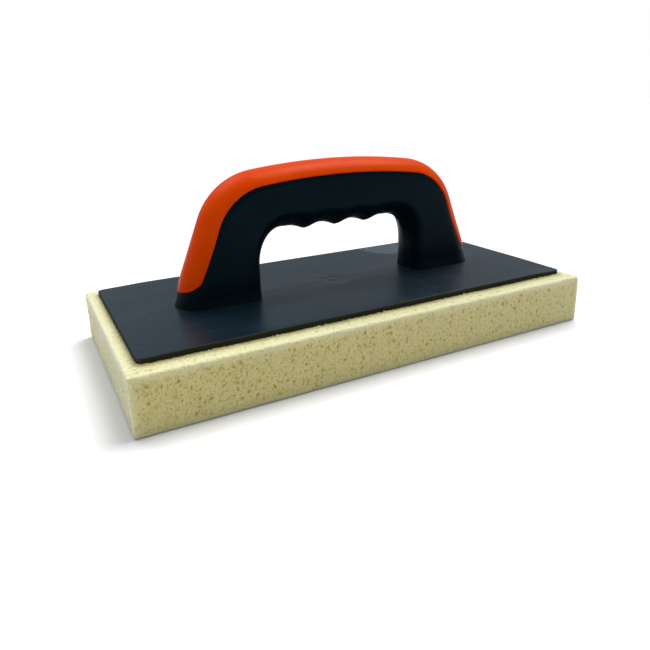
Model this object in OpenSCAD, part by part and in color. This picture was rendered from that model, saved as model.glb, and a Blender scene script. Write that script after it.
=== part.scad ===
// Grout float: a sponge pad bonded under a flat backing plate, with an arched handle screwed on top.
// Millimetres. The origin is the centre of the sponge's working face, +X runs along the float's
// length, +Y across it and +Z up towards the handle.

/* [Sponge pad] */
// Length of the sponge pad
pad_length = 280; // [230:2:340]
// Width of the sponge pad
pad_width = 140; // [120:5:165]
// Thickness of the sponge pad
pad_thickness = 30; // [20:1:40]
// Softening radius on the sponge's edges
pad_edge_round = 1.5; // [0.5:0.25:3]
// Thickness of the adhesive film between sponge and plate
glue_thickness = 0.3; // [0.2:0.05:0.6]

/* [Backing plate] */
// Sponge showing beyond each end of the plate
ledge_end = 6.5; // [4:0.5:10]
// Sponge showing beyond each long side of the plate
ledge_side = 10; // [6:0.5:14]
// Thickness of the plate
plate_thickness = 3; // [2.5:0.25:4]
// Corner radius of the plate in plan
plate_corner_round = 5; // [3:0.5:10]
// Rounding of the plate's top and bottom edges
plate_edge_round = 0.8; // [0.4:0.1:1.2]

/* [Handle] */
// Height of the handle above the plate
handle_height = 74.4; // [66:0.2:90]
// Length of the handle where it meets the plate
handle_length = 199; // [190:1:216]
// Width of the handle across the grip
handle_width = 28; // [23:0.1:34]
// Lean of each leg from vertical, in degrees
leg_lean = 22; // [16:0.5:26]
// How far each leg tucks in at its foot from the leaning line
leg_tuck = 3.2; // [1:0.2:4]
// Outward flare at the very base of each foot
foot_flare = 1.4; // [0.4:0.1:2]
// Radius of the shoulder between leg and crown
shoulder_radius = 40; // [34:1:46]
// Radius of the shallow crown along the top
crown_radius = 400; // [300:10:600]
// Depth of the grip from the crown to the finger grooves
grip_depth = 36.7; // [33:0.1:40]
// Length of the hand opening between the legs
opening_length = 104; // [92:1:108]

/* [Finger grip] */
// Ridges between the finger grooves
ridge_count = 3; // [3:2:5]
// Spacing of the ridges
ridge_pitch = 21; // [16:0.5:22]
// Height of each ridge above the grooves
ridge_height = 2.6; // [1:0.2:3.2]

/* [Grip cover] */
// Thickness of the soft cover
cover_thickness = 3; // [2.2:0.1:3.6]
// Depth of the cover's seam below the outer surface
seam_depth = 7.6; // [6:0.2:9]
// Height of each cover end above the plate
cover_end_height = 8.2; // [8:0.2:14]
// How far the cover stands proud of the body
cover_proud = 0.3; // [0.1:0.05:0.5]
// Clearance between cover and recess
cover_gap = 0.05; // [0.03:0.01:0.1]
// Diameter of the anchor pegs under the cover
peg_diameter = 5; // [4:0.5:6]
// Length of the anchor pegs below the cover
peg_length = 5; // [3:0.5:7]

/* [Screws] */
// Diameter over the screw's thread
screw_diameter = 4; // [3.3:0.1:4.8]
// Overall length of each screw
screw_length = 16; // [12:1:17]
// Diameter of the countersunk head
screw_head_diameter = 8; // [7:0.1:8.6]
// Distance between the two screws of one foot
screw_spacing = 19.5; // [18:0.5:21]

/* [Hidden] */

// Heights of the stack
glue_z = pad_thickness;
plate_z = glue_z + glue_thickness;
base_z = plate_z + plate_thickness;
crown_z = base_z + handle_height;

// Plan sizes that follow from the pad
plate_length = pad_length - 2 * ledge_end;
plate_width = pad_width - 2 * ledge_side;

// Hand opening: straight legs, then an elliptical corner about a pivot
half_width = handle_width / 2;
opening_half = opening_length / 2;
corner_run = 15.5;
corner_rise = 20;
pivot_x = opening_half - corner_run;
pivot_z = crown_z - grip_depth - corner_rise;
pivot = [pivot_x, pivot_z];

// Outer outline: leaning leg line, shoulder arc and crown arc, all tangent
leg_normal = [cos(leg_lean), sin(leg_lean)];
leg_upward = [-sin(leg_lean), cos(leg_lean)];
leg_offset = leg_normal * [handle_length / 2 + leg_tuck, base_z];
crown_centre = [0, crown_z - crown_radius];
shoulder_foot = leg_normal * (leg_offset - shoulder_radius);
shoulder_from = shoulder_foot - crown_centre;
shoulder_reach = crown_radius - shoulder_radius;
shoulder_b = leg_upward * shoulder_from;
shoulder_c = shoulder_from * shoulder_from - shoulder_reach * shoulder_reach;
shoulder_t = -shoulder_b + sqrt(shoulder_b * shoulder_b - shoulder_c);
shoulder_centre = shoulder_foot + leg_upward * shoulder_t;
leg_tangent = shoulder_centre + leg_normal * shoulder_radius;
crown_ray = (shoulder_centre - crown_centre) / shoulder_reach;
crown_tangent = crown_centre + crown_ray * crown_radius;
angle_leg = atan2(leg_tangent[1] - pivot_z, leg_tangent[0] - pivot_x);
angle_crown = atan2(crown_tangent[1] - pivot_z, crown_tangent[0] - pivot_x);

// Section rounding at the foot and at the crown
foot_half_width = half_width - 0.5;
crown_round_out = 10.5;
crown_round_in = 11;
leg_round_in = 7.2;
crown_keel = 1.2;
flare_height = 6;

// Cover ends and seam
end_z = base_z + cover_end_height;
end_run = 9;
end_first = 0.35;
leg_seam_extra = 1.1;
wall_step = 0.05;
seam_limit = 86;
arc_steps = 8;
side_steps = 3;
groove_steps = 6;
merge_angle = 3;

// Feet: pocket, bosses and the plate's locating pads
foot_wall = 3;
pocket_radius = foot_half_width - foot_wall;
pocket_inner = opening_half + foot_wall + pocket_radius;
pocket_outer = pocket_inner + screw_spacing;
pocket_height = 15;
pad_height = 2.5;
pad_gap = 0.2;
boss_radius = 4.5;
boss_gap = 0.1;
pilot_radius = screw_diameter / 2 - 0.3;
pilot_extra = 1.5;
shank_gap = 0.2;
seat_gap = 0.02;

// Crown pockets under the cover, with a peg socket in each rib between them
core_count = 4;
core_length = 15;
core_rib = 8;
core_width = 14;
core_depth = 22;
core_pitch = core_length + core_rib;
peg_gap = 0.1;
peg_root = 1;

// Screw details
head_rim = 0.3;
head_depth = head_rim + screw_head_diameter / 2 - screw_diameter / 2;
thread_pitch = 1.6;
thread_depth = 0.5;
thread_start = head_depth + 3;
tip_length = 2.5;
drive_width = 1;
drive_span = 4.2;
drive_depth = 1.6;

black_plastic = [0.03, 0.06, 0.08];
slate_plastic = [0.22, 0.27, 0.32];
orange_rubber = [0.85, 0.29, 0.02];
sponge_cream = [0.85, 0.80, 0.55];
glue_amber = [0.80, 0.72, 0.45];
screw_steel = [0.70, 0.70, 0.72];

$fn = 64;

// --- Outline of the handle in the XZ plane -------------------------------------------------

function square_of(v) = v * v;
function ray(angle) = [cos(angle), sin(angle)];
function line_reach(dir) = (leg_offset - leg_normal * pivot) / (leg_normal * dir);
function circle_reach(dir, centre, radius) =
    let (from = pivot - centre, along = dir * from)
    -along + sqrt(square_of(along) - from * from + square_of(radius));

// Outer outline seen from the pivot at a given angle above horizontal
function outer_at(angle) =
    let (dir = ray(angle))
    pivot + dir * (
        angle < angle_leg ? line_reach(dir)
        : angle < angle_crown ? circle_reach(dir, shoulder_centre, shoulder_radius)
        : circle_reach(dir, crown_centre, crown_radius)
    );

// Elliptical corner of the hand opening seen from the pivot
function inner_at(angle) =
    pivot + ray(angle) / norm([cos(angle) / corner_run, sin(angle) / corner_rise]);

function crown_height(x) = crown_centre[1] + sqrt(square_of(crown_radius) - square_of(x));
function leg_line(z) = (leg_offset - leg_normal[1] * z) / leg_normal[0];
function tuck_at(z) = leg_tuck * square_of((pivot_z - z) / (pivot_z - base_z));
function flare_at(z) = foot_flare * square_of(max(0, 1 - (z - base_z) / flare_height));

// A ridge is a smooth-tipped cusp between two shallow grooves
function ridge_profile(offset) =
    let (soft = 2, half = ridge_pitch / 2)
    let (reach = norm([offset, soft]) - soft, full = norm([half, soft]) - soft)
    square_of(max(0, 1 - reach / full));
function ridge_at(x) =
    let (middle = (ridge_count - 1) / 2)
    ridge_height * max([
        for (i = [0 : ridge_count - 1]) ridge_profile(x - (i - middle) * ridge_pitch)
    ]);

// --- Stations along the handle: [inner point, outer point, blend, half width, ridge] --------

function smooth(t) = t * t * (3 - 2 * t);
function leg_station(z) =
    let (flare = flare_at(z))
    [[opening_half, z], [leg_line(z) - tuck_at(z) + flare, z], 0, foot_half_width + flare, 0];
function corner_station(angle) =
    let (blend = smooth(angle / 90))
    [inner_at(angle), outer_at(angle), blend, foot_half_width + 0.5 * blend, 0];
function crown_station(x) =
    [[x, crown_z - grip_depth], [x, crown_height(x)], 1, half_width, ridge_at(x)];
function mirrored(s) = [[-s[0][0], s[0][1]], [-s[1][0], s[1][1]], s[2], s[3], s[4]];
function reversed(list) = [for (i = [len(list) - 1 : -1 : 0]) list[i]];

below_end = end_z - 0.6;
foot_heights = [
    for (part = [0, 0.12, 0.28, 0.48, 0.72, 1]) base_z + part * flare_height,
    (base_z + flare_height + below_end) / 2, below_end
];
end_heights = [
    end_z + end_first - wall_step, end_z + end_first, end_z + end_first + wall_step,
    end_z + 0.8, end_z + 1.5, end_z + 2.5, end_z + 3.8
];
corner_step = 4.5;
crown_step_count = 44;
crown_step = 2 * pivot_x / crown_step_count;

leg_half = [for (z = concat(foot_heights, end_heights)) if (z < pivot_z - 0.2) leg_station(z)];
corner_half = [for (a = [0 : corner_step : 90 - corner_step / 2]) corner_station(a)];
right_half = concat(leg_half, corner_half);
left_half = [for (s = right_half) mirrored(s)];
crown_span = [for (i = [0 : crown_step_count]) crown_station(-pivot_x + i * crown_step)];
stations = concat(left_half, crown_span, reversed(right_half));

// --- Sections -------------------------------------------------------------------------------

function round_out(s) = s[3] + (crown_round_out - s[3]) * s[2];
function round_in(s) = leg_round_in + (crown_round_in - leg_round_in) * s[2];
function above_end(s) = s[1][1] - end_z;
function covered(s) = above_end(s) >= end_first - wall_step / 2;

// Half angle of the section's outer rounding that the cover takes up
function depth_of_seam(s) = seam_depth + leg_seam_extra * (1 - s[2]);
function full_seam(s) = min(seam_limit, acos(max(0, 1 - depth_of_seam(s) / round_out(s))));
function end_taper(s) =
    let (rise = max(end_first, above_end(s)))
    sqrt(1 - square_of(1 - min(1, rise / end_run)));
function seam_angle(s) = full_seam(s) * end_taper(s);

// A point of the outer rounding, moved inwards along its normal: [y, distance from inner point]
function outer_point(s, phi, inset) =
    let (w = s[3], a = round_out(s), normal = [sin(phi) / w, cos(phi) / a])
    let (point = [w * sin(phi), norm(s[1] - s[0]) - a * (1 - cos(phi))])
    point - inset * normal / norm(normal);
// The underside is round at the foot and a little keeled under the crown
function inner_point(s, phi) =
    let (keel = 1 + (crown_keel - 1) * s[2], out = pow(sin(phi), keel), in = pow(cos(phi), keel))
    [s[3] * out, round_in(s) * (1 - in) - s[4] * in];

function placed(s, p) =
    let (dir = (s[1] - s[0]) / norm(s[1] - s[0]), q = s[0] + dir * p[1])
    [q[0], p[0], q[1]];

function recess_depth(s) = covered(s) ? cover_thickness + cover_gap : 0;
function recess_angle(s) = seam_angle(s) - (covered(s) ? 0 : merge_angle);

// Half of a body section from the inner centre to the outer centre, on the +Y side
function body_half(s) = concat(
    [for (i = [0 : groove_steps]) inner_point(s, 90 * i / groove_steps)],
    [
        for (i = [0 : side_steps])
            outer_point(s, 90 + (seam_angle(s) - 90) * i / side_steps, 0)
    ],
    [
        for (i = [arc_steps : -1 : 0])
            outer_point(s, recess_angle(s) * i / arc_steps, recess_depth(s))
    ]
);
function body_ring(s) =
    let (half = body_half(s), last = len(half) - 1)
    concat(
        [for (p = half) placed(s, p)],
        [for (i = [last - 1 : -1 : 1]) placed(s, [-half[i][0], half[i][1]])]
    );

function cover_angle(s) = seam_angle(s) - cover_gap * 180 / (PI * s[3]);
function cover_arc(s, inset) = [
    for (i = [-arc_steps : arc_steps])
        outer_point(s, cover_angle(s) * i / arc_steps, inset)
];
function cover_ring(s) = concat(
    [for (p = cover_arc(s, cover_thickness)) placed(s, p)],
    [for (p = reversed(cover_arc(s, -cover_proud))) placed(s, p)]
);

// --- Skinning a list of equal rings ---------------------------------------------------------

// The cover's rings run the other way round its recess, so its diagonals are turned to match
function ring_walls(rings, size, turned) = [
    for (k = [0 : rings - 2])
        for (i = [0 : size - 1])
            let (j = (i + 1) % size, a = k * size, b = a + size)
                each turned
                    ? [[a + i, b + i, a + j], [a + j, b + i, b + j]]
                    : [[a + i, b + i, b + j], [a + i, b + j, a + j]]
];
function strip_cap(base, size) = [
    for (i = [0 : size / 2 - 2])
        [base + i, base + i + 1, base + size - 2 - i, base + size - 1 - i]
];

module body_sweep() {
    rings = [for (s = stations) body_ring(s)];
    size = len(rings[0]);
    last = (len(rings) - 1) * size;
    foot_cap = [for (i = [0 : size - 1]) i];
    end_cap = [for (i = [size - 1 : -1 : 0]) last + i];
    polyhedron(
        points = [for (r = rings) each r],
        faces = concat([foot_cap], ring_walls(len(rings), size, false), [end_cap]),
        convexity = 8
    );
}

module cover_sweep() {
    rings = [
        for (s = stations)
            if (above_end(s) > end_first + wall_step / 2) cover_ring(s)
    ];
    size = len(rings[0]);
    last = (len(rings) - 1) * size;
    end_cap = [for (face = strip_cap(last, size)) reversed(face)];
    polyhedron(
        points = [for (r = rings) each r],
        faces = concat(strip_cap(0, size), ring_walls(len(rings), size, true), end_cap),
        convexity = 8
    );
}

// --- Shared shapes --------------------------------------------------------------------------

module rounded_rect(length, width, radius) {
    square([length - 2 * radius, width], center = true);
    square([length, width - 2 * radius], center = true);
    for (x = [-1, 1])
        for (y = [-1, 1])
            translate([x * (length / 2 - radius), y * (width / 2 - radius)])
                circle(r = radius);
}

// A block rounded in plan and along its edges, standing on z = 0
module rounded_block(length, width, height, corner, edge) {
    intersection() {
        linear_extrude(height = height)
            rounded_rect(length, width, corner);
        translate([0, width / 2, height / 2])
            rotate([90, 0, 0])
                linear_extrude(height = width)
                    rounded_rect(length, height, edge);
        translate([-length / 2, 0, height / 2])
            rotate([90, 0, 90])
                linear_extrude(height = length)
                    rounded_rect(width, height, edge);
    }
}

// A straight-sided slot shape between the two screw positions of the foot on one side
module foot_slot(side, radius, height) {
    for (x = [pocket_inner, pocket_outer])
        translate([side * x, 0, 0])
            cylinder(r = radius, h = height);
    translate([side * (pocket_inner + pocket_outer) / 2, 0, height / 2])
        cube([screw_spacing, 2 * radius, height], center = true);
}

module at_screws() {
    for (side = [-1, 1])
        for (x = [pocket_inner, pocket_outer])
            translate([side * x, 0, 0])
                children();
}

// --- Sub-parts ------------------------------------------------------------------------------

module sponge_pad() {
    color(sponge_cream)
        rounded_block(pad_length, pad_width, pad_thickness, 2 * pad_edge_round, pad_edge_round);
}

module adhesive_layer() {
    color(glue_amber)
        translate([0, 0, glue_z])
            linear_extrude(height = glue_thickness)
                rounded_rect(
                    plate_length - 2 * plate_edge_round,
                    plate_width - 2 * plate_edge_round,
                    plate_corner_round
                );
}

module screw_passage() {
    rim_radius = screw_head_diameter / 2 + shank_gap / 2;
    sink_radius = screw_head_diameter / 2 + seat_gap;
    neck_radius = screw_diameter / 2 + shank_gap;
    translate([0, 0, -1])
        cylinder(r = neck_radius, h = plate_thickness + pad_height + 2);
    translate([0, 0, head_rim])
        cylinder(r1 = sink_radius, r2 = neck_radius, h = sink_radius - neck_radius);
    translate([0, 0, -1])
        cylinder(r = rim_radius, h = 1 + head_rim);
}

module base_plate() {
    color(slate_plastic)
        translate([0, 0, plate_z])
            difference() {
                union() {
                    rounded_block(
                        plate_length, plate_width, plate_thickness,
                        plate_corner_round, plate_edge_round
                    );
                    for (side = [-1, 1])
                        translate([0, 0, plate_thickness / 2])
                            foot_slot(
                                side, pocket_radius - pad_gap, plate_thickness / 2 + pad_height
                            );
                }
                at_screws()
                    screw_passage();
            }
}

module foot_pockets() {
    for (side = [-1, 1])
        difference() {
            translate([0, 0, base_z - 1])
                foot_slot(side, pocket_radius, pocket_height + 1);
            for (x = [pocket_inner, pocket_outer])
                translate([side * x, 0, base_z + pad_height + boss_gap])
                    cylinder(r = boss_radius, h = pocket_height);
        }
    at_screws()
        translate([0, 0, base_z])
            cylinder(r = pilot_radius, h = screw_length - plate_thickness + pilot_extra);
}

// The pocket roof lies above the recess floor, so each pocket opens under the cover
module crown_pockets() {
    roof_z = crown_z - cover_thickness;
    for (i = [0 : core_count - 1])
        translate([(i - (core_count - 1) / 2) * core_pitch, 0, roof_z - core_depth / 2])
            cube([core_length, core_width, core_depth], center = true);
}

// Round pegs through the cover's underside, one over each rib between the crown pockets
module anchor_pegs(radius, length) {
    for (i = [1 : core_count - 1])
        translate([(i - core_count / 2) * core_pitch, 0, crown_z - cover_thickness - length])
            cylinder(r = radius, h = length + peg_root);
}

module handle_body() {
    color(black_plastic)
        difference() {
            body_sweep();
            foot_pockets();
            crown_pockets();
            anchor_pegs(peg_diameter / 2 + peg_gap, peg_length + peg_gap);
        }
}

module grip_cover() {
    color(orange_rubber) {
        cover_sweep();
        anchor_pegs(peg_diameter / 2, peg_length);
    }
}

function thread_turn(start) = [
    [screw_diameter / 2 - thread_depth, start],
    [screw_diameter / 2, start + 0.4 * thread_pitch],
    [screw_diameter / 2, start + 0.5 * thread_pitch],
    [screw_diameter / 2 - thread_depth, start + 0.9 * thread_pitch]
];

module screw() {
    turns = floor((screw_length - tip_length - thread_start) / thread_pitch);
    core = screw_diameter / 2 - thread_depth;
    difference() {
        rotate_extrude()
            polygon(concat(
                [
                    [0, 0],
                    [screw_head_diameter / 2, 0],
                    [screw_head_diameter / 2, head_rim],
                    [screw_diameter / 2, head_depth],
                    [screw_diameter / 2, thread_start - thread_depth],
                ],
                [for (i = [0 : turns - 1]) each thread_turn(thread_start + i * thread_pitch)],
                [[core, screw_length - tip_length], [0, screw_length]]
            ));
        for (turn = [0, 90])
            rotate([0, 0, turn])
                translate([0, 0, drive_depth / 2 - 0.5])
                    cube([drive_span, drive_width, drive_depth + 1], center = true);
    }
}

module handle_screws() {
    color(screw_steel)
        at_screws()
            translate([0, 0, plate_z])
                screw();
}

sponge_pad();
adhesive_layer();
base_plate();
handle_body();
grip_cover();
handle_screws();
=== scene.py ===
"""Looks of a sponge grout float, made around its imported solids.

The float's own pieces are sized in millimetres, which become metres when a mesh is made. The
studio uses metres. The textures of the finishes say which unit they use.
"""

import logging
import math
import random
from collections.abc import Sequence
from dataclasses import dataclass, field, replace
from enum import Enum

import bmesh
import bpy
import numpy as np
from mathutils import Matrix, Vector, noise
from mathutils.geometry import delaunay_2d_cdt

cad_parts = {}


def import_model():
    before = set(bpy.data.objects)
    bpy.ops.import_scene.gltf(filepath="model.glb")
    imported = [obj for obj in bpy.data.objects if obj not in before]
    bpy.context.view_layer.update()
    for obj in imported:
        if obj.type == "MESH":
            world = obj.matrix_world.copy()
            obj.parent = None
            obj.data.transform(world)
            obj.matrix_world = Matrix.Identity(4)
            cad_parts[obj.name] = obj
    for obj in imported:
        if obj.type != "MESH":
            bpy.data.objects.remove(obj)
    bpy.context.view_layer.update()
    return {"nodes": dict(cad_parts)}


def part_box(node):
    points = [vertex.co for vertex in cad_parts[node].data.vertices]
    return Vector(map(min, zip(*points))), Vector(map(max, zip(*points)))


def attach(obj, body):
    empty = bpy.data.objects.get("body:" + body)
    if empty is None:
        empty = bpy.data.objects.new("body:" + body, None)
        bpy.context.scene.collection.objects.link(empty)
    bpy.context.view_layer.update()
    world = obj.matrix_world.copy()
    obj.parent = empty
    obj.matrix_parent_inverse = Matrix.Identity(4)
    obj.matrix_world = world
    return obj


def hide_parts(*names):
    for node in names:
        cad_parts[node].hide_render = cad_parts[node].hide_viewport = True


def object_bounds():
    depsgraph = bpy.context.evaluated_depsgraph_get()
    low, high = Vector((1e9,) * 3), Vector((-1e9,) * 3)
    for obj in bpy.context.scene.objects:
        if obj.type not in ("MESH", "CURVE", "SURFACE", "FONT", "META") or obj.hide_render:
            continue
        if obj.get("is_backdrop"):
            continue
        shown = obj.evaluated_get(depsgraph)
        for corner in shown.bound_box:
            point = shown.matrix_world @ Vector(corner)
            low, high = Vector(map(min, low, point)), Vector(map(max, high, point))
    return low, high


MM = 0.001
ROOT = "root"
LOG = logging.getLogger("grout_float")

Colour = tuple[float, float, float]
Point2 = tuple[float, float]
Point3 = tuple[float, float, float]
Socket = bpy.types.NodeSocket


# --- Small helpers --------------------------------------------------------------------------


def smooth_step(t: float) -> float:
    """Eases t from 0 to 1 with flat ends."""
    t = min(1.0, max(0.0, t))
    return t * t * (3.0 - 2.0 * t)


def fbm(point: Vector, scale: float, octaves: int = 3) -> float:
    """Sums a few octaves of smooth noise.

    Args:
        point: Place to sample, in millimetres.
        scale: Size of the largest features, in millimetres.
        octaves: Number of layers, each half the size of the last.

    Returns:
        A value of about -1 to 1.
    """
    return noise.fractal(point / scale, 1.0, 2.0, octaves)


def new_mesh_object(
    name: str,
    points: Sequence[Sequence[float]],
    faces: Sequence[Sequence[int]],
    sharp_angle: float = 40.0,
) -> bpy.types.Object:
    """Makes a smooth-shaded mesh object from points in millimetres.

    Args:
        name: Name of the piece.
        points: Corner positions, in millimetres.
        faces: Corner numbers of each face.
        sharp_angle: Edges turning by more than this many degrees stay crisp.

    Returns:
        The new object, already linked to the scene.
    """
    mesh = bpy.data.meshes.new(name)
    mesh.from_pydata([tuple(c * MM for c in p) for p in points], [], [tuple(f) for f in faces])
    mesh.validate()
    mesh.update()
    mesh.shade_smooth()
    mesh.set_sharp_from_angle(angle=math.radians(sharp_angle))
    piece = bpy.data.objects.new(name, mesh)
    bpy.context.scene.collection.objects.link(piece)
    return piece


def object_from(mesh: bmesh.types.BMesh, name: str) -> bpy.types.Object:
    """Turns an edit mesh into a smooth-shaded object and frees it.

    Args:
        mesh: The finished edit mesh, in metres.
        name: Name of the piece.

    Returns:
        The new object, already linked to the scene.
    """
    data = bpy.data.meshes.new(name)
    mesh.to_mesh(data)
    mesh.free()
    data.shade_smooth()
    piece = bpy.data.objects.new(name, data)
    bpy.context.scene.collection.objects.link(piece)
    return piece


# --- Shader building ------------------------------------------------------------------------


@dataclass(frozen=True)
class Grain:
    """An uneven pattern spread over a surface.

    Scale is in features per metre, detail is the number of finer layers and rough is their
    strength. Band holds the pattern's values that count as 0 and 1. Depth is its relief in
    millimetres, and stretch squeezes it axis by axis.
    """

    scale: float
    detail: float
    rough: float
    band: Point2 = (0.0, 1.0)
    depth: float = 0.0
    stretch: Point3 | None = None


class Shader:
    """One material's node tree, with a few calls that keep the tree code short."""

    def __init__(self, name: str) -> None:
        """Starts a material with a Principled surface and object coordinates.

        Args:
            name: Name of the material.
        """
        self.material = bpy.data.materials.new(name)
        self.material.use_nodes = True
        self.tree = self.material.node_tree
        self.tree.nodes.clear()
        self.surface = self.tree.nodes.new("ShaderNodeBsdfPrincipled")
        output = self.tree.nodes.new("ShaderNodeOutputMaterial")
        self.tree.links.new(self.surface.outputs["BSDF"], output.inputs["Surface"])
        self.place = self.tree.nodes.new("ShaderNodeTexCoord").outputs["Object"]

    def put(self, **values: float | Colour) -> None:
        """Sets constants on the surface's own sockets.

        Args:
            **values: Socket names with underscores for spaces, and their values.
        """
        for key, value in values.items():
            socket = self.surface.inputs[key.replace("_", " ")]
            is_colour = isinstance(value, tuple) and len(socket.default_value) == 4
            socket.default_value = (*value, 1.0) if is_colour else value

    def node(
        self, kind: str, inputs: dict[str | int, object] | None = None, **settings: object
    ) -> bpy.types.Node:
        """Adds one node.

        Args:
            kind: Blender's node type, without its ShaderNode prefix.
            inputs: Socket name or number to a constant or an output socket.
            **settings: Attributes of the node itself and their values.

        Returns:
            The new node.
        """
        made = self.tree.nodes.new("ShaderNode" + kind)
        for key, value in settings.items():
            setattr(made, key, value)
        for key, value in (inputs or {}).items():
            if isinstance(value, Socket):
                self.tree.links.new(value, made.inputs[key])
            else:
                made.inputs[key].default_value = value
        return made

    def stretched(self, scale: Point3) -> Socket:
        """Gives object coordinates multiplied axis by axis."""
        inputs = {0: self.place, 1: scale}
        return self.node("VectorMath", inputs, operation="MULTIPLY").outputs[0]

    def noise(self, grain: Grain) -> Socket:
        """Adds a noise texture.

        Args:
            grain: The pattern to draw.

        Returns:
            The noise value's socket.
        """
        at = self.stretched(grain.stretch) if grain.stretch else self.place
        inputs = {"Vector": at, "Scale": grain.scale}
        inputs.update({"Detail": grain.detail, "Roughness": grain.rough})
        return self.node("TexNoise", inputs).outputs["Fac"]

    def patches(self, grain: Grain, to: Point2 = (0.0, 1.0)) -> Socket:
        """Adds a noise texture and maps its band onto a range."""
        return self.remap(self.noise(grain), *grain.band, to)

    def relief(self, grain: Grain, before: Socket | None = None) -> Socket:
        """Adds a noise texture as a bump of its own depth."""
        return self.bump(self.noise(grain), grain.depth, before)

    def cells(self, scale: float) -> Socket:
        """Adds a Voronoi texture and gives its distance.

        Args:
            scale: Cells per metre.

        Returns:
            The distance's socket.
        """
        inputs = {"Vector": self.place, "Scale": scale}
        return self.node("TexVoronoi", inputs, feature="F1").outputs["Distance"]

    def remap(self, value: Socket, low: float, high: float, to: Point2 = (0.0, 1.0)) -> Socket:
        """Maps low..high smoothly onto another range.

        Args:
            value: Socket to map.
            low: Input that gives the first end.
            high: Input that gives the second end.
            to: The two ends of the result.

        Returns:
            The mapped socket.
        """
        inputs = {
            "Value": value, "From Min": low, "From Max": high, "To Min": to[0], "To Max": to[1],
        }
        made = self.node("MapRange", inputs, interpolation_type="SMOOTHSTEP")
        return made.outputs["Result"]

    def maths(self, operation: str, first: Socket | float, second: Socket | float) -> Socket:
        """Joins two values with one arithmetic step."""
        return self.node("Math", {0: first, 1: second}, operation=operation).outputs[0]

    def blend(self, factor: Socket, first: Socket | Colour, second: Socket | Colour) -> Socket:
        """Mixes two colours.

        Args:
            factor: Share of the second colour.
            first: Colour or socket shown at 0.
            second: Colour or socket shown at 1.

        Returns:
            The mixed colour's socket.
        """
        made = self.node("Mix", {"Factor": factor}, data_type="RGBA")
        for slot, value in ((6, first), (7, second)):
            if isinstance(value, Socket):
                self.tree.links.new(value, made.inputs[slot])
            else:
                made.inputs[slot].default_value = (*value, 1.0)
        return made.outputs[2]

    def attribute(self, name: str) -> Socket:
        """Reads a value stored on the mesh's corners."""
        return self.node("Attribute", attribute_name=name).outputs["Fac"]

    def feed(self, socket: str, value: Socket) -> None:
        """Links a value to one of the surface's sockets."""
        self.tree.links.new(value, self.surface.inputs[socket])

    def bump(self, height: Socket, depth: float, before: Socket | None = None) -> Socket:
        """Adds a bump step and links it to the surface.

        Args:
            height: Height map, from 0 to 1.
            depth: Height of 1, in millimetres.
            before: An earlier bump's normal.

        Returns:
            The bumped normal's socket.
        """
        inputs = {"Height": height, "Distance": depth * MM, "Strength": 1.0}
        if before is not None:
            inputs["Normal"] = before
        normal = self.node("Bump", inputs).outputs["Normal"]
        self.feed("Normal", normal)
        return normal


@dataclass(frozen=True)
class CellLayer:
    """One size of foam cell.

    Spacing and dent are in millimetres. Opening is the range of hole sizes, as shares of the
    spacing; a higher rarity makes wide ones rarer. Share is how strongly the holes colour the foam.
    """

    spacing: float
    opening: Point2
    rarity: float
    softness: float
    share: float
    dent: float


@dataclass(frozen=True)
class Mark:
    """A tint laid over the foam where a value stored on its mesh is high."""

    layer: str
    colour: Colour
    share: float


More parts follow.
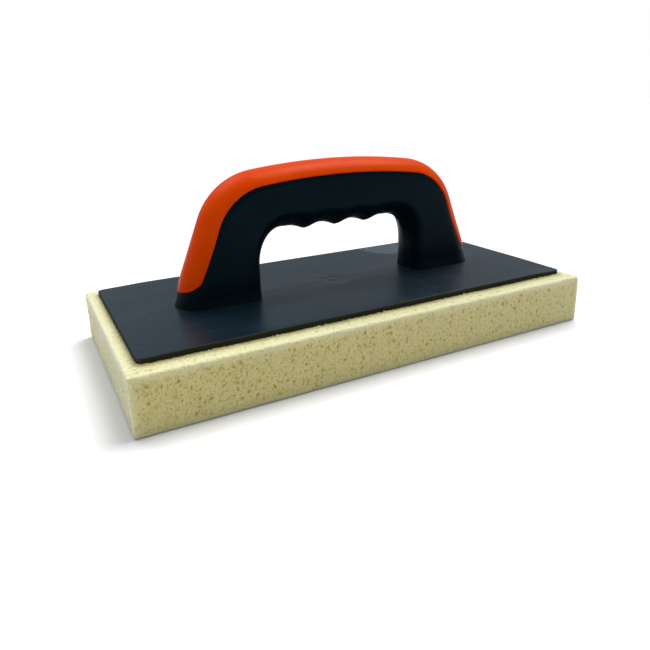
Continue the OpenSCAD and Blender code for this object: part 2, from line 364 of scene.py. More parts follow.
@dataclass(frozen=True)
class FoamFinish:
    """Cream open-cell foam, with painted amber shade in the depths of its pores.

    The web's spacing and the drift's reach are in millimetres. The drift's scale is in features per
    metre.
    """

    strut: Colour = (0.74, 0.68, 0.34)
    body: Colour = (0.53, 0.455, 0.145)
    hole: Colour = (0.48, 0.385, 0.065)
    # Painted shade: the darker amber that the depths of the pores are tinted to.
    pore_shade: Colour = (0.53, 0.385, 0.04)
    # Painted shade: every side but the top is multiplied by this.
    side_shade_tint: Colour = (0.82, 0.765, 0.63)
    web_spacing: float = 1.7
    web_width: Point2 = (0.16, 0.02)
    web_share: float = 0.45
    drift_scale: float = 420.0
    drift_reach: float = 0.9
    cell_height: float = 0.72
    pore_shade_range: Point2 = (0.05, 0.9)
    large: CellLayer = CellLayer(2.6, (0.0, 0.38), 1.5, 0.11, 0.8, 0.11)
    middle: CellLayer = CellLayer(1.25, (0.10, 0.42), 1.0, 0.15, 0.8, 0.11)
    fine: CellLayer = CellLayer(0.75, (0.22, 0.40), 1.0, 0.20, 0.85, 0.07)
    marks: tuple[Mark, ...] = (
        # Painted shade on the ledge beside the plate's edge.
        Mark("plate_edge_shade", (0.36, 0.28, 0.075), 0.7),
        # Painted highlight along the upper edges and the upright corners.
        Mark("edge_highlight", (0.80, 0.77, 0.50), 0.6),
        # A greyer, darker tint towards the bottom of the pad.
        Mark("bottom_band", (0.44, 0.43, 0.25), 0.5),
    )

    def cell_place(self, sh: Shader) -> Socket:
        """Gives coordinates that make the cells uneven and a little taller than wide.

        Args:
            sh: Shader to add to.

        Returns:
            The coordinates' socket.
        """
        warp = {"Vector": sh.place, "Scale": self.drift_scale, "Detail": 2.0}
        drift = sh.node("TexNoise", warp).outputs["Color"]
        reach = (self.drift_reach * MM,) * 3
        drift = sh.node("VectorMath", {0: drift, 1: reach}, operation="MULTIPLY").outputs[0]
        tall = sh.stretched((1.0, 1.0, self.cell_height))
        return sh.node("VectorMath", {0: tall, 1: drift}, operation="ADD").outputs[0]

    def holes(self, sh: Shader, at: Socket, layer: CellLayer) -> Socket:
        """Draws one size of cell.

        Args:
            sh: Shader to add to.
            at: Coordinates to draw with.
            layer: Size and openness of the cells.

        Returns:
            Socket that is 1 inside the holes.
        """
        inputs = {"Vector": at, "Scale": 1000 / layer.spacing}
        cells = sh.node("TexVoronoi", inputs, feature="F1")
        pick = sh.node("SeparateColor", {0: cells.outputs["Color"]}).outputs[0]
        pick = sh.maths("POWER", pick, layer.rarity)
        low, high = layer.opening
        radius = sh.maths("ADD", sh.maths("MULTIPLY", pick, high - low), low)
        inside = sh.maths("SUBTRACT", radius, cells.outputs["Distance"])
        return sh.remap(inside, -layer.softness, layer.softness)

    def web(self, sh: Shader, at: Socket) -> Socket:
        """Draws the thin pale walls between cells.

        Args:
            sh: Shader to add to.
            at: Coordinates to draw with.

        Returns:
            Socket that is 1 on the walls.
        """
        inputs = {"Vector": at, "Scale": 1000 / self.web_spacing}
        walls = sh.node("TexVoronoi", inputs, feature="DISTANCE_TO_EDGE").outputs["Distance"]
        return sh.remap(walls, *self.web_width)

    def material(self) -> bpy.types.Material:
        """Builds the foam material.

        Returns:
            The material.
        """
        sh = Shader("cut_foam")
        sh.put(Roughness=0.95, Specular_IOR_Level=0.1, Sheen_Weight=0.6, Sheen_Roughness=0.6)
        sh.put(Sheen_Tint=(0.94, 1.0, 0.96), Subsurface_Weight=0.4, Subsurface_Scale=0.0012)
        sh.put(Subsurface_Radius=(1.0, 0.85, 0.5))
        at = self.cell_place(sh)
        holes = {layer: self.holes(sh, at, layer) for layer in (self.large, self.middle, self.fine)}
        tone: Socket | Colour = self.strut
        tints = ((self.fine, self.body), (self.middle, self.hole), (self.large, self.hole))
        for layer, colour in tints:
            tone = sh.blend(sh.maths("MULTIPLY", holes[layer], layer.share), tone, colour)
        tone = sh.blend(sh.maths("MULTIPLY", self.web(sh, at), self.web_share), tone, self.strut)
        # Painted shade: darkens every side but the top.
        wall = {"Factor": sh.attribute("wall"), 6: tone, 7: (*self.side_shade_tint, 1.0)}
        tone = sh.node("Mix", wall, data_type="RGBA", blend_type="MULTIPLY").outputs[2]
        # Lays on the painted shade beside the plate, the painted edge highlight and the greyer
        # bottom band.
        for mark in self.marks:
            share = sh.maths("MULTIPLY", sh.attribute(mark.layer), mark.share)
            tone = sh.blend(share, tone, mark.colour)
        # Painted shade: the deeper a point lies in a pore, the more it turns to darker amber.
        tone = sh.blend(sh.remap(sh.attribute("pit"), *self.pore_shade_range), tone, self.pore_shade)
        sh.feed("Base Color", tone)
        normal = None
        for layer, inside in holes.items():
            normal = sh.bump(sh.maths("SUBTRACT", 1.0, inside), layer.dent, normal)
        return sh.material


@dataclass(frozen=True)
class PlateFinish:
    """Satin slate-coloured plastic sheet: faint flow lines, handling marks, painted foam reflection
    on its side.

    The smear's place and sizes are in metres.
    """

    base: Colour = (0.003, 0.011, 0.018)
    pale: Colour = (0.008, 0.018, 0.027)
    # Painted reflection: the olive of the foam, seen in the plate's side.
    edge: Colour = (0.014, 0.015, 0.006)
    dust: Colour = (0.080, 0.110, 0.130)
    gloss: float = 0.22
    roughness: Point2 = (0.29, 0.39)
    rim_roughness: float = 0.9
    flow: Grain = Grain(9, 4, 0.55, band=(0.35, 0.65), stretch=(0.7, 3.0, 1.0))
    smudge: Grain = Grain(22, 5, 0.62, band=(0.52, 0.74))
    ripple: Grain = Grain(30, 3, 0.45, depth=0.05, stretch=(0.6, 1.5, 1.0))
    fine_grain: Grain = Grain(1500, 2, 0.5, depth=0.006)
    smudge_share: float = 0.6
    smudge_roughness: float = 0.06
    speck_share: float = 0.7
    specks_per_metre: float = 160.0
    speck_size: Point2 = (0.075, 0.05)
    smear_place: Point3 = (0.070, 0.050, 0.033)
    smear_reach: float = 0.017
    smear_edge: Point2 = (0.014, 0.0125)
    smear_grain: Grain = Grain(70, 4, 0.6)
    smear_ragged: float = 0.026
    smear_share: float = 0.5
    smear_roughness: float = 0.15

    def material(self) -> bpy.types.Material:
        """Builds the plate material.

        Returns:
            The material.
        """
        sh = Shader("slate_plate")
        sh.put(Specular_IOR_Level=self.gloss)
        smudge = sh.patches(self.smudge)
        tone = sh.blend(sh.maths("MULTIPLY", smudge, self.smudge_share), self.base, self.pale)
        smear = self.smear(sh)
        tone = sh.blend(sh.maths("MULTIPLY", smear, self.smear_share), tone, self.dust)
        specks = sh.remap(sh.cells(self.specks_per_metre), *self.speck_size)
        tone = sh.blend(sh.maths("MULTIPLY", specks, self.speck_share), tone, self.dust)
        # The plate's side gets the olive painted reflection of the foam, and a rougher finish.
        rim = sh.attribute("rim")
        sh.feed("Base Color", sh.blend(rim, tone, self.edge))
        rough = sh.patches(self.flow, self.roughness)
        rough = sh.maths("ADD", rough, sh.maths("MULTIPLY", smudge, self.smudge_roughness))
        rough = sh.maths("ADD", rough, sh.maths("MULTIPLY", smear, self.smear_roughness))
        rim_rough = sh.maths("MULTIPLY", rim, self.rim_roughness)
        sh.feed("Roughness", sh.maths("MAXIMUM", rough, rim_rough))
        sh.relief(self.fine_grain, sh.relief(self.ripple))
        return sh.material

    def smear(self, sh: Shader) -> Socket:
        """Draws one dried smear with a ragged outline.

        Args:
            sh: Shader to add to.

        Returns:
            Socket that is 1 inside the smear.
        """
        away = sh.node("VectorMath", {0: sh.place, 1: self.smear_place}, operation="DISTANCE")
        ragged = sh.maths("MULTIPLY", sh.noise(self.smear_grain), self.smear_ragged)
        reach = sh.maths("ADD", away.outputs["Value"], ragged)
        outer, inner = self.smear_edge
        return sh.remap(reach, self.smear_reach + outer, self.smear_reach + inner)


@dataclass(frozen=True)
class HandleFinish:
    """Near-black satin moulding with a very fine eroded grain."""

    base: Colour = (0.0004, 0.0026, 0.0048)
    rubbed: Colour = (0.0010, 0.0042, 0.0070)
    gloss: float = 0.085
    gloss_tint: Colour = (0.4, 0.9, 1.0)
    roughness: Point2 = (0.36, 0.44)
    rub: Grain = Grain(30, 5, 0.6, band=(0.5, 0.75))
    sheen: Grain = Grain(55, 3, 0.5, band=(0.3, 0.7))
    fine_grain: Grain = Grain(2600, 2, 0.5, depth=0.010)
    broad_grain: Grain = Grain(60, 2, 0.5, depth=0.05)

    def material(self) -> bpy.types.Material:
        """Builds the black plastic material.

        Returns:
            The material.
        """
        sh = Shader("black_moulding")
        sh.put(Specular_IOR_Level=self.gloss, Specular_Tint=self.gloss_tint)
        sh.feed("Base Color", sh.blend(sh.patches(self.rub), self.base, self.rubbed))
        sh.feed("Roughness", sh.patches(self.sheen, self.roughness))
        sh.relief(self.broad_grain, sh.relief(self.fine_grain))
        return sh.material


@dataclass(frozen=True)
class GripFinish:
    """Orange soft plastic, lightly scuffed along the top."""

    base: Colour = (0.67, 0.050, 0.0)
    worn: Colour = (0.76, 0.085, 0.002)
    gloss: float = 0.045
    gloss_tint: Colour = (1.0, 0.5, 0.2)
    roughness: Point2 = (0.31, 0.41)
    cloud: Grain = Grain(26, 5, 0.6, band=(0.46, 0.72))
    hair: Grain = Grain(120, 6, 0.7, band=(0.60, 0.68), stretch=(0.35, 3.0, 1.0))
    sheen: Grain = Grain(48, 3, 0.5, band=(0.3, 0.7))
    fine_grain: Grain = Grain(1900, 2, 0.5, depth=0.008)
    broad_grain: Grain = Grain(90, 3, 0.5, depth=0.04)
    cloud_share: float = 0.35
    scuff_share: float = 0.4
    scuff_roughness: float = 0.2

    def material(self) -> bpy.types.Material:
        """Builds the orange grip material.

        Returns:
            The material.
        """
        sh = Shader("orange_grip")
        sh.put(Specular_IOR_Level=self.gloss, Specular_Tint=self.gloss_tint)
        cloud = sh.patches(self.cloud)
        scuff = sh.maths("MULTIPLY", sh.patches(self.hair), cloud)
        tone = sh.blend(sh.maths("MULTIPLY", cloud, self.cloud_share), self.base, self.worn)
        share = sh.maths("MULTIPLY", scuff, self.scuff_share)
        sh.feed("Base Color", sh.blend(share, tone, self.worn))
        rough = sh.patches(self.sheen, self.roughness)
        worn_rough = sh.maths("MULTIPLY", scuff, self.scuff_roughness)
        sh.feed("Roughness", sh.maths("ADD", rough, worn_rough))
        sh.relief(self.broad_grain, sh.relief(self.fine_grain))
        return sh.material


@dataclass(frozen=True)
class GlueFinish:
    """Dried contact adhesive, amber and a little uneven."""

    thin: Colour = (0.62, 0.50, 0.22)
    thick: Colour = (0.42, 0.28, 0.07)
    roughness: float = 0.45
    blot: Grain = Grain(90, 4, 0.6, band=(0.35, 0.65))
    skin: Grain = Grain(260, 3, 0.5, depth=0.08)

    def material(self) -> bpy.types.Material:
        """Builds the adhesive material.

        Returns:
            The material.
        """
        sh = Shader("dried_adhesive")
        sh.put(Roughness=self.roughness)
        sh.feed("Base Color", sh.blend(sh.patches(self.blot), self.thin, self.thick))
        sh.relief(self.skin)
        return sh.material


@dataclass(frozen=True)
class SteelFinish:
    """Bright zinc-plated screw steel with turning marks."""

    bright: Colour = (0.62, 0.62, 0.64)
    dull: Colour = (0.40, 0.40, 0.40)
    roughness: Point2 = (0.22, 0.42)
    blot: Grain = Grain(500, 4, 0.6, band=(0.4, 0.7))
    turning: Grain = Grain(2500, 2, 0.5, depth=0.01, stretch=(0.2, 0.2, 3.0))

    def material(self) -> bpy.types.Material:
        """Builds the plated steel material.

        Returns:
            The material.
        """
        sh = Shader("plated_steel")
        sh.put(Metallic=1.0)
        blot = sh.patches(self.blot)
        sh.feed("Base Color", sh.blend(blot, self.bright, self.dull))
        sh.feed("Roughness", sh.remap(blot, 0.0, 1.0, self.roughness))
        sh.relief(self.turning)
        return sh.material


@dataclass(frozen=True)
class FloorFinish:
    """Plain pale studio floor."""

    base: Colour = (0.885, 0.86, 0.86)

    def material(self) -> bpy.types.Material:
        """Builds the floor material.

        Returns:
            The material.
        """
        sh = Shader("pale_floor")
        sh.put(Base_Color=self.base, Roughness=0.9, Specular_IOR_Level=0.1)
        return sh.material


# --- Sponge pad -----------------------------------------------------------------------------


@dataclass(frozen=True)
class Facing:
    """How one flat side of a block lies in space: its two in-plane axes and its normal."""

    along: int
    up: int
    normal: int
    high: bool


class Side(Enum):
    """The six sides of the pad."""

    FRONT = Facing(0, 2, 1, False)
    BACK = Facing(0, 2, 1, True)
    LEFT = Facing(1, 2, 0, False)
    RIGHT = Facing(1, 2, 0, True)
    UNDER = Facing(0, 1, 2, False)
    TOP = Facing(0, 1, 2, True)


@dataclass
class Patch:
    """Flat points of one side before they are bent onto the pad: place, depth and pit value."""

    places: list[Point2] = field(default_factory=list)
    depths: list[float] = field(default_factory=list)
    pits: list[float] = field(default_factory=list)
    rims: list[tuple[int, int]] = field(default_factory=list)

    def add(self, place: Point2, depth: float = 0.0, pit: float = 0.0) -> int:
        """Adds a point.

        Args:
            place: Position on the flat side.
            depth: How far the point lies below the surface.
            pit: 0 on the surface, 1 at the bottom of a pore.

        Returns:
            The point's number.
        """
        self.places.append(place)
        self.depths.append(depth)
        self.pits.append(pit)
        return len(self.places) - 1

    def ring(self, centre: Point2, shape: "Pore", share: float, depth: float, pit: float) -> None:
        """Adds one closed ring of a pore.

        Args:
            centre: Middle of the pore.
            shape: The pore's outline.
            share: Size of this ring as a share of the rim.
            depth: Depth of the ring below the surface.
            pit: Pit value of the ring.
        """
        count = max(5, round(shape.corners * math.sqrt(share)))
        first = len(self.places)
        for k in range(count):
            dx, dy = shape.offset(2 * math.pi * (k + 0.5 * share) / count)
            self.add((centre[0] + share * dx, centre[1] + share * dy), depth, pit)
        for k in range(count):
            self.rims.append((first + k, first + (k + 1) % count))


@dataclass(frozen=True)
class PoreStyle:
    """One kind of hole in the cut face.

    Steps are the rings below the rim, each as a share of the rim's size, a share of the depth and a
    pit value. Bottom is the pit value at the deepest point.
    """

    per_cm2: float
    radius: Point2
    corners: int
    rim_depth: float
    steps: tuple[tuple[float, float, float], ...]
    bottom: float
    upright_only: bool


@dataclass(frozen=True)
class Pore:
    """An uneven oval hole in the cut face."""

    radius: float
    stretch: float
    turn: float
    wobble: float
    corners: int

    def offset(self, angle: float) -> Point2:
        """Gives the rim's offset from the centre at an angle.

        Args:
            angle: Angle round the pore, in radians.

        Returns:
            The offset along the side's two axes.
        """
        r = self.radius * (1 + self.wobble * math.sin(3 * angle + 5 * self.turn))
        x, y = r * math.cos(angle), r * self.stretch * math.sin(angle)
        c, s = math.cos(self.turn), math.sin(self.turn)
        return x * c - y * s, x * s + y * c


@dataclass
class SpongePad:
    """The foam block, with its pores, soft edges and uneven cut."""

    # Rounded edges, and the rows of points that carry them.
    edge_round: float = 1.3
    top_round: float = 2.2
    round_fade: float = 6.0
    edge_rows: tuple[float, ...] = (0.5, 1.0, 1.6, 2.3)
    edge_spacing: float = 1.0
    edge_clear: float = 0.3
    corner_step: float = 0.45
    # Loose points between the pores.
    filler_spacing: float = 3.0
    filler_inset: float = 0.8
    filler_jitter: float = 0.3
    # Pores: wide open ones everywhere, and pits between them on the upright sides.
    pore: PoreStyle = PoreStyle(
        6.8, (0.55, 1.4), 10, 0.04, ((0.84, 0.5, 0.45), (0.5, 0.88, 0.85)), 1.0, False
    )
    pit: PoreStyle = PoreStyle(5.0, (0.28, 0.5), 6, 0.03, (), 0.6, True)
    pore_rarity: float = 1.7
    pore_flatness: Point2 = (0.52, 0.88)
    pore_turn: Point2 = (1.35, 0.45)
    pore_wobble: float = 0.1
    pore_depth: Point2 = (0.35, 0.6)
    pore_reach: float = 1.15
    pore_clear: float = 0.25
    edge_gap: float = 0.1
    plate_clear: float = 2.2
    booking_cell: float = 4.0
    under_share: float = 0.25
    # The foam's swelling round the plate.
    plate_corner: float = 5.0
    lip_rows: tuple[float, ...] = (-0.4, 0.15, 0.6, 1.2, 2.0)
    lip_clear: Point2 = (-1.5, 3.4)
    lip_height: float = 0.75
    lip_base: float = 0.35
    lip_reach: float = 0.9
    under_plate: float = 0.02
    # The uneven cut, fine and broad.
    fine_rough: float = 0.36
    fine_size: float = 1.7
    broad_rough: float = 0.35
    broad_size: float = 26.0
    under_fade: float = 3.0
    # How far each stored value reaches, for the foam's finish.
    # Reaches of the painted highlight along the upper edges and the upright corners.
    edge_highlight_reach: float = 3.2
    post_highlight_reach: float = 2.4
    # Height of the greyer, darker tint at the bottom.
    bottom_band_height: float = 4.0
    # Reach of the painted shade beside the plate's edge.
    plate_edge_shade_reach: float = 2.6
    layer_names: tuple[str, ...] = ("pit", "edge_highlight", "bottom_band", "wall", "plate_edge_shade")
    seed: int = 7
    # Worked out while building.
    low: np.ndarray = field(init=False)
    high: np.ndarray = field(init=False)
    plate_half: np.ndarray = field(init=False)
    draw: random.Random = field(init=False)
    layers: dict[str, bmesh.types.BMLayerItem] = field(init=False)

    def measure(self) -> None:
        """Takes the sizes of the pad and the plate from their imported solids."""
        low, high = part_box("sponge_pad")
        self.low = np.array(low) / MM
        self.high = np.array(high) / MM
        low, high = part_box("base_plate")
        self.plate_half = np.array([high.x - low.x, high.y - low.y]) / (2 * MM)

    def build(self, finish: FoamFinish) -> bpy.types.Object:
        """Args:
            finish: The foam's finish.

        Returns:
            The pad.
        """
        self.measure()
        self.draw = random.Random(self.seed)
        mesh = bmesh.new()
        self.layers = {name: mesh.verts.layers.float.new(name) for name in self.layer_names}
        for side in Side:
            self.add_side(mesh, side)
        bmesh.ops.remove_doubles(mesh, verts=mesh.verts, dist=0.004 * MM)
        bmesh.ops.recalc_face_normals(mesh, faces=mesh.faces)
        pad = object_from(mesh, "sponge_pad_foam")
        self.even_normals(pad.data)
        pad.data.materials.append(finish.material())
        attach(pad, ROOT)
        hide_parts("sponge_pad")
        return pad

    def even_normals(self, data: bpy.types.Mesh) -> None:
        """Weights each corner's normal by area, so that a pore's rim doesn't tilt the flat foam.

        Args:
            data: The pad's mesh.
        """
        normals = np.zeros((len(data.vertices), 3))
        for face in data.polygons:
            weighted = np.array(face.normal) * face.area
            for k in face.vertices:
                normals[k] += weighted
        normals /= np.maximum(np.linalg.norm(normals, axis=1), 1e-15)[:, None]
        data.normals_split_custom_set_from_vertices(normals.tolist())

    def extent(self, side: Side) -> Point2:
        """Gives a side's two lengths."""
        size = self.high - self.low
        return float(size[side.value.along]), float(size[side.value.up])

    def add_side(self, mesh: bmesh.types.BMesh, side: Side) -> None:
        """Adds one side of the pad to the mesh.

        Args:
            mesh: Mesh that collects all sides.
            side: Which side to add.
        """
        wide, tall = self.extent(side)
        patch = Patch()
        self.add_border(patch, wide, tall)
        if side is Side.TOP:
            self.add_lip(patch, wide, tall)
        self.add_pores(patch, side, wide, tall)
        self.add_filler(patch, side, wide, tall)
        places = [Vector(p) for p in patch.places]
        verts, _, faces, origins, _, _ = delaunay_2d_cdt(places, patch.rims, [], 0, 1e-6)
        made = []
        for place, origin in zip(verts, origins):
            k = origin[0] if origin else None
            depth = patch.depths[k] if k is not None else 0.0
            at = self.bend(side, place, depth)
            vert = mesh.verts.new(at * MM)
            self.mark(vert, side, at, patch.pits[k] if k is not None else 0.0)
            made.append(vert)
        for face in faces:
            mesh.faces.new([made[i] for i in face])

    def mark(self, vert: bmesh.types.BMVert, side: Side, at: Vector, pit: float) -> None:
        """Stores the values that the foam's finish reads.

        Args:
            vert: The mesh's corner to mark.
            side: The side it belongs to.
            at: Its place, in millimetres.
            pit: 0 on the surface, 1 at the bottom of a pore.
        """
        # Depth in a pore, which the finish turns into painted amber shade.
        vert[self.layers["pit"]] = pit
        # Painted highlight along the upper edges and the upright corners.
        vert[self.layers["edge_highlight"]] = self.edge_highlight_at(at)
        # A greyer, darker tint towards the bottom.
        vert[self.layers["bottom_band"]] = smooth_step(1.0 - at.z / self.bottom_band_height)
        # Painted shade on every side but the top.
        vert[self.layers["wall"]] = 0.0 if side is Side.TOP else 1.0
        # Painted shade on the ledge, strongest at the plate's edge.
        if side is Side.TOP:
            away = max(0.0, self.plate_distance(at.x, at.y)) / self.plate_edge_shade_reach
            vert[self.layers["plate_edge_shade"]] = math.exp(-away * away)

    def add_border(self, patch: Patch, wide: float, tall: float) -> None:
        """Adds the outline and the rows that carry the rounded edges.

        Args:
            patch: Patch to add to.
            wide: First length of the side.
            tall: Second length of the side.
        """
        for inset in (0.0, *self.edge_rows):
            across = self.steps(wide, inset)
            upward = self.steps(tall, inset)
            for a in across:
                for b in (inset, tall - inset):
                    patch.add((a, b))
            for b in upward[1:-1]:
                for a in (inset, wide - inset):
                    patch.add((a, b))

    def edge_highlight_at(self, at: Vector) -> float:
        """Gives how near a place lies to the pad's upper and upright edges, where the finish paints
        a highlight.

        Args:
            at: Place on the pad, in millimetres.

        Returns:
            1 on an edge, falling to 0 away from all of them.
        """
        rim = min(self.high[0] - abs(at.x), self.high[1] - abs(at.y))
        away = math.hypot(max(0.0, rim), max(0.0, float(self.high[2]) - at.z))
        post = math.hypot(self.high[0] - abs(at.x), self.high[1] - abs(at.y))
        upper = math.exp(-((away / self.edge_highlight_reach) ** 2))
        return max(upper, math.exp(-((post / self.post_highlight_reach) ** 2)))

    def plate_distance(self, x: float, y: float) -> float:
        """Measures how far a place lies outside the plate's outline.

        Args:
            x: Place along the float, in millimetres.
            y: Place across the float, in millimetres.

        Returns:
            The distance in millimetres, negative under the plate.
        """
        r = self.plate_corner
        qx = abs(x) - self.plate_half[0] + r
        qy = abs(y) - self.plate_half[1] + r
        return math.hypot(max(qx, 0.0), max(qy, 0.0)) + min(max(qx, qy), 0.0) - r

    def add_lip(self, patch: Patch, wide: float, tall: float) -> None:
        """Adds rows round the plate's outline, where the foam swells against it.

        Args:
            patch: Patch to add to.
            wide: First length of the side.
            tall: Second length of the side.
        """
        r = self.plate_corner
        for row, offset in enumerate(self.lip_rows):
            a, b = self.plate_half + offset
            turn = r + offset
            for sx, sy, start in ((1, 1, 0.0), (-1, 1, 90.0), (-1, -1, 180.0), (1, -1, 270.0)):
                for k in range(7):
                    angle = math.radians(start + 15.0 * k)
                    x = sx * (a - turn) + turn * math.cos(angle)
                    y = sy * (b - turn) + turn * math.sin(angle)
                    patch.add((x + wide / 2, y + tall / 2))
            shift = 0.5 * (row % 2)
            for k in range(1, int(2 * (a - turn))):
                for edge in (-b, b):
                    patch.add((turn - a + k + shift + wide / 2, edge + tall / 2))
            for k in range(1, int(2 * (b - turn))):
                for edge in (-a, a):
                    patch.add((edge + wide / 2, turn - b + k + shift + tall / 2))

    def steps(self, length: float, inset: float) -> list[float]:
        """Spreads points along an edge so that neighbouring sides share them.

        Args:
            length: Full length of the edge.
            inset: Distance kept from both ends.

        Returns:
            Positions along the edge.
        """
        count = round(length / self.edge_spacing)
        inner = [k * length / count for k in range(1, count)]
        clear = inset + self.edge_clear
        inner = [c for c in inner if clear < c < length - clear]
        corners = [] if inset else [self.corner_step, length - self.corner_step]
        return sorted([inset, length - inset, *inner, *corners])

    def add_pores(self, patch: Patch, side: Side, wide: float, tall: float) -> None:
        """Scatters pores that keep clear of each other and of the edges.

        Args:
            patch: Patch to add to.
            side: The side being made.
            wide: First length of the side.
            tall: Second length of the side.
        """
        share = self.under_share if side is Side.UNDER else 1.0
        area = wide * tall / 100.0
        taken: dict[tuple[int, int], list[Point3]] = {}
        for style in (self.pore, self.pit):
            if style.upright_only and side in (Side.UNDER, Side.TOP):
                continue
            for _ in range(round(area * style.per_cm2 * share)):
                shape = self.random_pore(style)
                reach = shape.radius * self.pore_reach
                margin = self.edge_rows[-1] + self.edge_gap + reach
                centre = (
                    self.draw.uniform(margin, wide - margin),
                    self.draw.uniform(margin, tall - margin),
                )
                if side is Side.TOP:
                    away = self.plate_distance(centre[0] - wide / 2, centre[1] - tall / 2)
                    if away < self.plate_clear + reach:
                        continue
                if self.is_free(taken, centre, reach):
                    self.sink(patch, centre, shape, style)

    def random_pore(self, style: PoreStyle) -> Pore:
        """Draws one pore of a kind.

        Args:
            style: The kind of pore.

        Returns:
            The pore's shape.
        """
        low, high = style.radius
        radius = low + (high - low) * self.draw.random() ** self.pore_rarity
        return Pore(
            radius=radius,
            stretch=self.draw.uniform(*self.pore_flatness),
            turn=self.draw.gauss(*self.pore_turn),
            wobble=self.draw.uniform(0.0, self.pore_wobble),
            corners=style.corners,
        )

    def is_free(
        self, taken: dict[tuple[int, int], list[Point3]], centre: Point2, reach: float
    ) -> bool:
        """Books a place for a pore if nothing is too near.

        Args:
            taken: Booked places, by grid cell.
            centre: Middle of the pore.
            reach: Radius to keep clear.

        Returns:
            True if the place was free and is now booked.
        """
        i, j = (int(c // self.booking_cell) for c in centre)
        for di in (-1, 0, 1):
            for dj in (-1, 0, 1):
                for x, y, r in taken.get((i + di, j + dj), ()):
                    if math.hypot(x - centre[0], y - centre[1]) < r + reach + self.pore_clear:
                        return False
        taken.setdefault((i, j), []).append((*centre, reach))
        return True

    def sink(self, patch: Patch, centre: Point2, shape: Pore, style: PoreStyle) -> None:
        """Adds the rings of one pore.

        Args:
            patch: Patch to add to.
            centre: Middle of the pore.
            shape: The pore's outline.
            style: The kind of pore.
        """
        depth = shape.radius * self.draw.uniform(*self.pore_depth)
        patch.ring(centre, shape, 1.0, style.rim_depth, 0.0)
        for share, part, pit in style.steps:
            patch.ring(centre, shape, share, part * depth, pit)
        patch.add(centre, depth, style.bottom)

    def add_filler(self, patch: Patch, side: Side, wide: float, tall: float) -> None:
        """Adds jittered points between the pores.

        Args:
            patch: Patch to add to.
            side: The side being made.
            wide: First length of the side.
            tall: Second length of the side.
        """
        gap = self.filler_spacing
        inset = self.edge_rows[-1] + self.filler_inset
        busy = {(round(a / gap), round(b / gap)) for a, b in patch.places}
        for i in range(1, int(wide / gap)):
            for j in range(1, int(tall / gap)):
                a, b = i * gap, j * gap
                if (i, j) in busy or not (inset < a < wide - inset and inset < b < tall - inset):
                    continue
                away = self.plate_distance(a - wide / 2, b - tall / 2)
                in_lip = self.lip_clear[0] < away < self.lip_clear[1]
                hidden = away < 0 and (i + j) % 3
                if side is Side.TOP and (in_lip or hidden):
                    continue
                jitter = self.filler_jitter
                shift = [self.draw.uniform(-jitter, jitter) * gap for _ in range(2)]
                patch.add((a + shift[0], b + shift[1]))

    def radius_at(self, height: float) -> float:
        """Gives the rounding of the upright corners, softer towards the top.

        Args:
            height: Height on the pad, in millimetres.

        Returns:
            The radius in millimetres.
        """
        part = smooth_step((height - float(self.high[2]) + self.round_fade) / self.round_fade)
        return self.edge_round + (self.top_round - self.edge_round) * part

    def bend(self, side: Side, place: Sequence[float], depth: float) -> Vector:
        """Puts a flat point onto the pad, rounding its edges and roughening its surface.

        Args:
            side: The side the point belongs to.
            place: Position on the flat side.
            depth: How far the point lies below the surface.

        Returns:
            The point's place, in millimetres.
        """
        f = side.value
        sharp = np.zeros(3)
        sharp[f.along] = self.low[f.along] + place[0]
        sharp[f.up] = self.low[f.up] + place[1]
        sharp[f.normal] = self.high[f.normal] if f.high else self.low[f.normal]
        radius = self.radius_at(float(sharp[2]))
        lowest = self.low + np.array([radius, radius, self.edge_round])
        highest = self.high - np.array([radius, radius, self.top_round])
        core = np.clip(sharp, lowest, highest)
        rise = self.top_round if sharp[2] > highest[2] else self.edge_round
        reach = np.array([radius, radius, rise])
        out = (sharp - core) / reach
        out = out / np.linalg.norm(out)
        at = Vector(core + out * reach)
        out = Vector(out / reach).normalized()
        lip = 0.0
        if side is Side.TOP:
            away = self.plate_distance(at.x, at.y)
            if away < 0.0:
                return at - out * self.under_plate
            tuft = 0.2 + 1.8 * abs(fbm(at, 1.1, 2))
            swell = self.lip_height * tuft + self.lip_base
            lip = swell * math.exp(-((away / self.lip_reach) ** 2))
        rough = self.fine_rough * (0.5 + 0.5 * fbm(at, self.fine_size, 2))
        elsewhere = at + Vector((31.0, 7.0, 3.0))
        rough += self.broad_rough * (0.5 + 0.5 * fbm(elsewhere, self.broad_size, 2))
        if side is Side.UNDER:
            inset = min(self.high[0] - abs(sharp[0]), self.high[1] - abs(sharp[1]))
            rough *= 1.0 - 0.5 * smooth_step(inset / self.under_fade)
        return at + out * (lip - max(0.0, rough) - depth)


# --- Backing plate --------------------------------------------------------------------------


